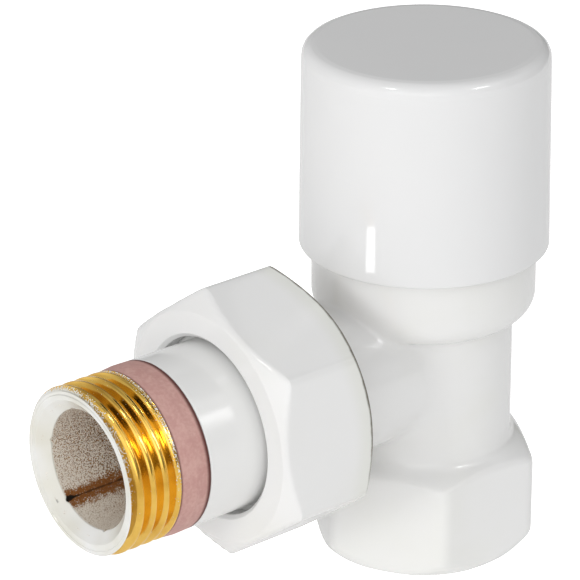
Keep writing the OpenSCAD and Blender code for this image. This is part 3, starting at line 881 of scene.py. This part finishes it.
# A box with bevelled edges between two corners, in millimetres.
def bevelledBox(name, low, high, bevel, scale=mm):
    work = bmesh.new()
    bmesh.ops.create_cube(work, size=1.0)
    size = Vector(high) - Vector(low)
    middle = (Vector(high) + Vector(low)) / 2
    for vert in work.verts:
        vert.co = Vector([vert.co[i] * size[i] + middle[i] for i in range(3)]) * scale
    bmesh.ops.bevel(work, geom=work.edges[:], offset=bevel * scale, segments=3, profile=0.5, affect="EDGES")
    mesh = bpy.data.meshes.new(name)
    work.to_mesh(mesh)
    work.free()
    return mesh


def makeCap():
    s = capSizes
    plastic = makeCapPlastic()
    low, top = capLow.z, capHigh.z
    outer = capHigh.x
    upper = outer - s["draft"]
    inner = outer - s["wall"]
    ceiling = top - s["roof"]
    bossOuter = s["bossInner"] + s["bossWall"]
    corners = [
        (0, top, 0), (upper, top, s["edge"]), (outer, low, s["mouth"]), (inner, low, 0.3),
        (inner - s["draft"] * 0.93, ceiling, 0.6), (bossOuter, ceiling, 0.4),
        (bossOuter, s["bossFoot"], 0.25),
        (s["bossInner"], s["bossFoot"], 0.25), (s["bossInner"], s["bead"] - 0.1, 0.1),
        (s["bossInner"] + s["beadDepth"], s["bead"], 0.1),
        (s["bossInner"] + s["beadDepth"], s["bead"] + s["beadHeight"] - 0.1, 0.1),
        (s["bossInner"], s["bead"] + s["beadHeight"], 0.1), (s["bossInner"], ceiling, 0.3), (0, ceiling, 0),
    ]
    cap = turnPiece("lockshieldCap", corners, plastic, 360, 1.2)
    rib = bevelledBox("capRib", (bossOuter - 0.3, -s["ribThickness"] / 2, s["ribFoot"]),
                      (inner - 0.05, s["ribThickness"] / 2, ceiling + 0.3), 0.18)
    repeatRound(cap, rib, s["ribs"], plastic)
    return settle(cap, "cap", "cap_plastic", "lockshield_cap")


print("moulding the cap")
ringTree = makeRingTree()
shieldCap = makeCap()

cameraView = {
    "azimuth": 50.434, "elevation": 24.168, "roll": -0.196, "distance": 417.79, "lens": 211.9,
    "aim": (-5.43, 1.94, 3.39),
}


def placeCamera():
    s = cameraView
    low, high = cadBox
    aim = (low + high) / 2 + Vector(s["aim"]) * mm
    turn, rise = math.radians(s["azimuth"]), math.radians(s["elevation"])
    back = Vector((math.sin(turn) * math.cos(rise), -math.cos(turn) * math.cos(rise), math.sin(rise)))
    camera = bpy.data.objects.new("camera", bpy.data.cameras.new("camera"))
    bpy.context.scene.collection.objects.link(camera)
    camera.data.lens = s["lens"]
    camera.data.clip_start = 0.01
    facing = (-back).to_track_quat("-Z", "Y").to_matrix().to_4x4()
    spot = Matrix.Translation(aim + back * s["distance"] * mm)
    camera.matrix_world = spot @ facing @ Matrix.Rotation(math.radians(s["roll"]), 4, "Z")
    bpy.context.scene.camera = camera


# A soft light that faces the middle of the object.
def placeLight(name, azimuth, elevation, distance, width, height, power, tint=(1, 1, 1)):
    low, high = cadBox
    middle = (low + high) / 2
    turn, rise = math.radians(azimuth), math.radians(elevation)
    back = Vector((math.sin(turn) * math.cos(rise), -math.cos(turn) * math.cos(rise), math.sin(rise)))
    light = bpy.data.objects.new(name, bpy.data.lights.new(name, "AREA"))
    light.data.shape = "RECTANGLE"
    light.data.size = width
    light.data.size_y = height
    light.data.energy = power
    light.data.color = tint
    light.location = middle + back * distance
    light.rotation_mode = "QUATERNION"
    light.rotation_quaternion = back.to_track_quat("Z", "Y")
    bpy.context.scene.collection.objects.link(light)
    return light


stageLook = {
    "floor": (0.93, 0.93, 0.93, 1), "seenGlow": 0.6, "bounceGlow": 0.16, "sharpness": 6.0,
    # azimuth and elevation of each soft patch of light, and its radiance
    "patches": [
        (50.4, 12, 1.74), (275.4, 12, 0.87), (320.4, 12, 0.22), (5.4, 12, 1.02),
        (110.4, 48, 0.76), (170.4, 48, 0.60), (230.4, 48, 0.12), (0, 90, 0.27),
    ],
}


def facing(azimuth, elevation):
    turn, rise = math.radians(azimuth), math.radians(elevation)
    return Vector((math.sin(turn) * math.cos(rise), -math.cos(turn) * math.cos(rise), math.sin(rise)))


# A flat card that only reflections see, turned towards the object.
def placeCard(name, azimuth, elevation, distance, width, height, radiance):
    material, shader, place = startMaterial(name)
    shader.inputs["Base Color"].default_value = (0, 0, 0, 1)
    shader.inputs["Specular IOR Level"].default_value = 0.0
    shader.inputs["Emission Color"].default_value = (1, 1, 1, 1)
    shader.inputs["Emission Strength"].default_value = radiance
    x, y = width / 2, height / 2
    mesh = bpy.data.meshes.new(name)
    mesh.from_pydata([(-x, -y, 0), (x, -y, 0), (x, y, 0), (-x, y, 0)], [], [(0, 1, 2, 3)])
    mesh.materials.append(material)
    card = bpy.data.objects.new(name, mesh)
    bpy.context.scene.collection.objects.link(card)
    back = facing(azimuth, elevation)
    card.location = (cadBox[0] + cadBox[1]) / 2 + back * distance
    card.rotation_mode = "QUATERNION"
    card.rotation_quaternion = back.to_track_quat("Z", "Y")
    card.visible_camera = False
    card.visible_diffuse = False
    card.visible_shadow = False
    return card


# A floor plane at a depth under the object.
def placeFloor(name, depth, glow):
    material, shader, place = startMaterial(name, Roughness=0.9)
    shader.inputs["Base Color"].default_value = stageLook["floor"]
    shader.inputs["Emission Color"].default_value = (1, 1, 1, 1)
    shader.inputs["Emission Strength"].default_value = glow
    shader.inputs["Specular IOR Level"].default_value = 0.0
    side = 3.0
    level = cadBox[0].z - depth
    mesh = bpy.data.meshes.new(name)
    corners = [(-side, -side, level), (side, -side, level), (side, side, level), (-side, side, level)]
    mesh.from_pydata(corners, [], [(0, 1, 2, 3)])
    mesh.materials.append(material)
    floor = bpy.data.objects.new(name, mesh)
    bpy.context.scene.collection.objects.link(floor)
    return floor


def makeStage():
    s = stageLook
    # one floor for the camera, and one for the light that the object gets back
    seen = placeFloor("paleFloor", 0.00005, s["seenGlow"])
    bounce = placeFloor("bounceFloor", 0.0002, s["bounceGlow"])
    bounce.visible_camera = False
    for switch in ("visible_diffuse", "visible_glossy", "visible_transmission", "visible_shadow"):
        setattr(seen, switch, False)
    world = bpy.data.worlds.new("studio")
    bpy.context.scene.world = world
    world.use_nodes = True
    tree = world.node_tree
    direction = Wire(tree).add("ShaderNodeTexCoord", {}, {}, 0)
    total = None
    for azimuth, elevation, radiance in s["patches"]:
        near = direction.vectorMaths("DOT_PRODUCT", direction, facing(azimuth, elevation), out=1)
        falloff = (near - 1) * s["sharpness"]
        glow = falloff.maths("EXPONENT", falloff) * radiance
        total = glow if total is None else total + glow
    tree.links.new(total.socket, tree.nodes["Background"].inputs["Color"])
    bpy.context.scene.view_settings.view_transform = "Standard"
    # cards that only reflections see
    placeCard("darkCard", 182, 57, 0.6, 0.42, 0.26, 0.0)
    bright = placeCard("brightCard", 133, 29, 0.6, 0.12, 0.18, 6.0)
    # linked to the tailpiece alone, so that no other piece reflects it
    brass = bpy.data.collections.new("brightCardLit")
    brass.objects.link(tailpiece)
    bright.light_linking.receiver_collection = brass
    # two lights that only make highlights, and one that adds no reflection
    leftSpark = placeLight("leftSpark", 7.7, 51.8, 0.7, 0.08, 0.08, 0.45)
    rightSpark = placeLight("rightSpark", 108, 42, 0.7, 0.16, 0.08, 0.60)
    key = placeLight("key", 13, 16, 0.6, 0.12, 0.12, 0.55)
    key.visible_glossy = False
    leftSpark.visible_diffuse = False
    rightSpark.visible_diffuse = False


gleam = {
    "azimuth": -0.6, "elevation": -22.0, "distance": 0.005, "start": (6.2, -13.9, 45.0),
    "width": 0.0016, "height": 0.0055, "power": 0.00017,
}


# A strip light close to the cap and linked to it alone, for the upright gleam.
# It stays where it is when the cap moves.
def placeGleam():
    s = gleam
    strip = placeLight("capGleam", s["azimuth"], s["elevation"], s["distance"],
                       s["width"], s["height"], s["power"])
    start = Vector(s["start"]) * mm
    back = facing(s["azimuth"], s["elevation"])
    strip.location = start + back * s["distance"]
    strip.visible_diffuse = False
    strip.visible_camera = False
    lit = bpy.data.collections.new("gleamLights")
    lit.objects.link(shieldCap)
    blockers = bpy.data.collections.new("gleamBlockers")
    blockers.objects.link(bpy.data.objects["paleFloor"])
    strip.light_linking.receiver_collection = lit
    strip.light_linking.blocker_collection = blockers


innerLook = {
    "nickel": (0.66, 0.63, 0.57, 1), "nickelShade": (0.55, 0.52, 0.46, 1),
    "brass": (0.78, 0.52, 0.17, 1), "brassShade": (0.62, 0.38, 0.11, 1),
    "steel": (0.60, 0.60, 0.61, 1), "steelShade": (0.46, 0.46, 0.48, 1),
    "ptfe": (0.86, 0.86, 0.83, 1), "liner": (0.80, 0.79, 0.74, 1),
}


# Gives each inner part its finish.
def finishInnerParts():
    s = innerLook
    nickel = makeTurnedMetal("nickelPlate", s["nickel"], s["nickelShade"], 0.24)
    brass = makeTurnedMetal("innerBrass", s["brass"], s["brassShade"], 0.26)
    steel = makeTurnedMetal("springSteel", s["steel"], s["steelShade"], 0.22, 0.05, 0.1)
    rubber = makeRubber()
    finishes = {
        "bonnet": nickel, "gland_nut": brass, "gland_washer": brass, "spindle": brass, "plug": brass,
        "bonnet_o_ring": rubber, "gland_o_ring": rubber, "spindle_o_ring": rubber, "union_o_ring": rubber,
        "seat_washer": rubber, "cap_grip_ring": rubber,
        "plug_snap_ring": steel, "washer_screw": steel,
        "thrust_washer": makeWaxyPlastic("whitePtfe", s["ptfe"], 0.34),
        "cap_liner": makeWaxyPlastic("linerPlastic", s["liner"], 0.42),
    }
    for name, finish in finishes.items():
        part = frame["nodes"][name]
        if not part.data.materials:
            part.data.materials.append(finish)
        for holder in part.material_slots:
            holder.material = finish


print("finishing the inner parts")
finishInnerParts()

print("setting the stage")
makeStage()
placeGleam()
placeCamera()

print("done")
